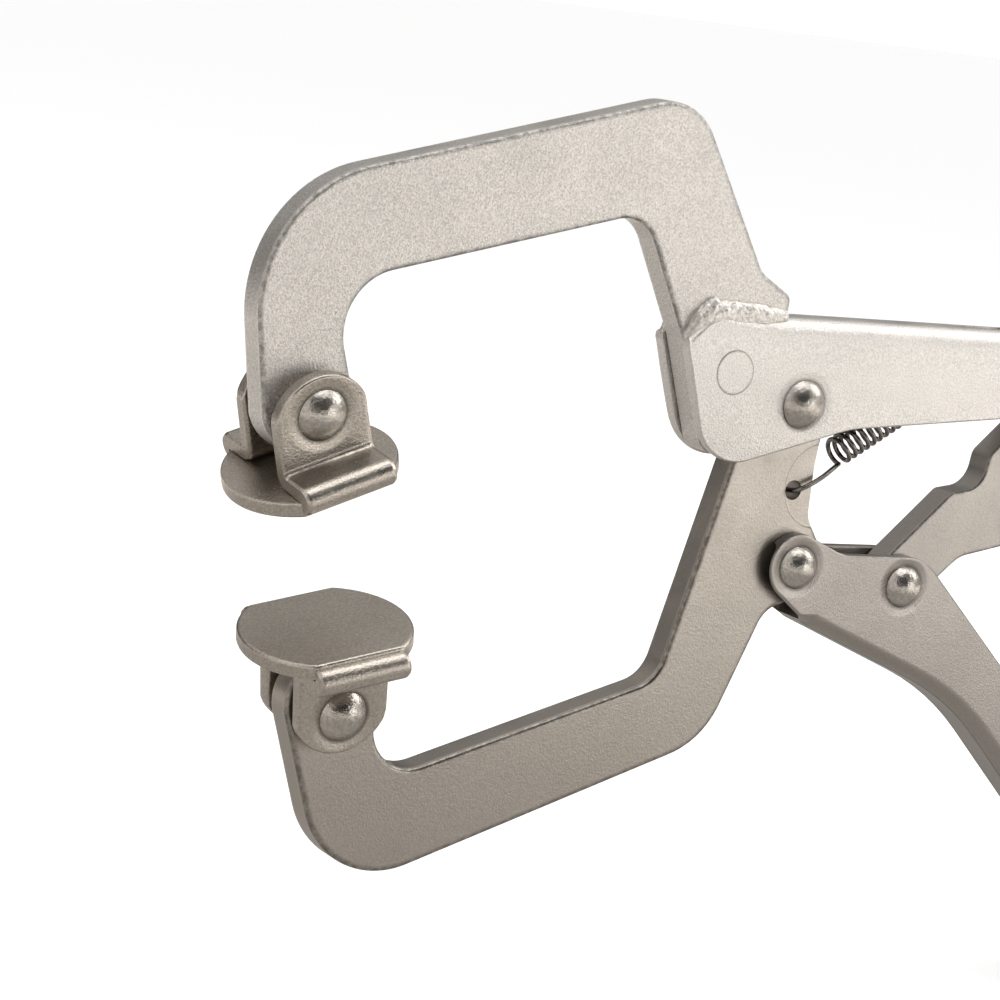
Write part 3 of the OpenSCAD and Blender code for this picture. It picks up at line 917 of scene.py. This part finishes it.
front_hook = soften([Vector(p) for p in (
    (6.2, 3.9, -14.9), (4.2, 3.9, -15.8), (3.0, 2.6, -16.5), (2.7, 0, -16.7), (3.0, -2.6, -16.5),
    (4.2, -3.9, -15.6), (8, -3.5, -13.9), (12.2, -1.8, -12.0),
)] + [coil[0]])
rear_hook = soften([coil[-1]] + [Vector(p) for p in (
    (44.2, 0, 10.9), (45.3, 0, 11.4), (46.6, 0, 11.2), (47, 0, 9.9), (46.2, 0, 8.8),
)])
bm = bmesh.new()
tube(bm, front_hook[:-1] + coil + rear_hook[1:], WIRE_R, 12, in_design)
piece("coil", done(bm, "coil"), "fixed_side", SPRING, ["return_spring"], weighted=False)


# ---------------------------------------------------------------- floor and world, in metres

def split_glossy(tree, plain, glossy, output):
    """Metal sees a softer studio than the camera does, as it would with flags around the object."""
    path = add_node(tree, "LightPath", {})
    mix = add_node(tree, "MixShader", {
        0: path.outputs["Is Glossy Ray"], 1: plain.outputs[0], 2: glossy.outputs[0],
    })
    tree.links.new(mix.outputs[0], output.inputs["Surface"])


def floor_paint():
    """White, but metal sees it glow: dim around the jaws, bright further out, and dark far away."""
    paint = bpy.data.materials.new("floor_paint")
    paint.use_nodes = True
    tree = paint.node_tree
    plain = tree.nodes["Principled BSDF"]
    plain.inputs["Base Color"].default_value = (0.92, 0.92, 0.92, 1)
    plain.inputs["Roughness"].default_value = 0.9
    place = add_node(tree, "TexCoord", {}).outputs["Object"]
    near = spread(tree, away_from(tree, place, (-0.12, 0, 0)), (0.22, 0.66), (0.54, 1.95), "SMOOTHSTEP")
    far = spread(tree, away_from(tree, place, (0.1, -0.35, 0)), (0.95, 1.3), (1.0, 0.08), "SMOOTHSTEP")
    glow = add_node(tree, "Emission", {"Color": (1.0, 0.95, 0.89, 1), "Strength": times(tree, near, far)})
    split_glossy(tree, plain, glow, tree.nodes["Material Output"])
    return paint


bpy.ops.mesh.primitive_plane_add(size=30, location=(0, 0, 0))
floor = bpy.context.object
floor.name = "floor"
floor.data.materials.append(floor_paint())

sky = bpy.data.worlds.new("studio")
bpy.context.scene.world = sky
sky.use_nodes = True
tree = sky.node_tree
plain = tree.nodes["Background"]
plain.inputs["Color"].default_value = (1, 1, 1, 1)
plain.inputs["Strength"].default_value = 1.1
direction = add_node(tree, "TexCoord", {}).outputs["Generated"]
# Brightest above the camera's side, with a dark patch where a photographer stands
slope = calculate(tree, "ADD", facing(tree, direction, (-0.1, -0.65, 0.65)), 0.54)
slope = calculate(tree, "MAXIMUM", slope, 0.06)
patch = spread(tree, facing(tree, direction, (0.0, -0.87, 0.5)), (0.55, 0.86), (1.0, 0.03), "SMOOTHSTEP")
studio = add_node(tree, "Background", {"Color": (1.0, 0.97, 0.93, 1), "Strength": times(tree, slope, patch)})
split_glossy(tree, plain, studio, tree.nodes["World Output"])


# ---------------------------------------------------------------- camera and lights

# The camera was fitted to the photo in a frame turned about the main pivot's axis from the design frame
YAW, RISE, ROLL, TURN = (math.radians(v) for v in (31.08, 14.99, -0.6, -9.5))
DISTANCE = 528.0
AIM = Vector((-61.3, 0, -10.0))
LENS = 109.44
SENSOR = 36


def to_design(v):
    c = math.cos(TURN)
    s = math.sin(TURN)
    return Vector((c * v.x + s * v.z, v.y, -s * v.x + c * v.z))


forward = Vector((math.sin(YAW) * math.cos(RISE), math.cos(YAW) * math.cos(RISE), -math.sin(RISE)))
right = Vector((math.cos(YAW), -math.sin(YAW), 0))
up = right.cross(forward)
cam_right = right * math.cos(ROLL) + up * math.sin(ROLL)
cam_up = up * math.cos(ROLL) - right * math.sin(ROLL)
axes = Matrix([to_design(v) for v in (cam_right, cam_up, -forward)]).transposed()
eye = in_design(to_design(AIM - forward * DISTANCE))

camera = bpy.data.objects.new("camera", bpy.data.cameras.new("camera"))
bpy.context.scene.collection.objects.link(camera)
camera.matrix_world = Matrix.Translation(eye) @ axes.to_4x4()
camera.data.sensor_width = SENSOR
camera.data.lens = LENS
camera.data.clip_start = 0.01
camera.data.clip_end = 50
bpy.context.scene.camera = camera


def softbox(name, place, size, power, color=(1, 1, 1)):
    """A rectangular light that faces the middle of the tool, with its place and size in metres."""
    data = bpy.data.lights.new(name, "AREA")
    data.shape = "RECTANGLE"
    data.size, data.size_y = size
    data.energy = power
    data.color = color
    obj = bpy.data.objects.new(name, data)
    bpy.context.scene.collection.objects.link(obj)
    obj.location = place
    obj.rotation_euler = (in_design((20, 0, -25)) - Vector(place)).to_track_quat("-Z", "Y").to_euler()


softbox("front", (0.6, -0.85, 0.22), (0.35, 0.35), 1.3, (1, 0.99, 0.97))
softbox("key", (1.0, -0.1, 0.75), (0.5, 0.5), 4, (1, 0.985, 0.96))
softbox("top", (0.1, -0.25, 1.2), (1.0, 0.6), 4)

bpy.context.scene.view_settings.view_transform = "Standard"
bpy.context.scene.view_settings.look = "None"
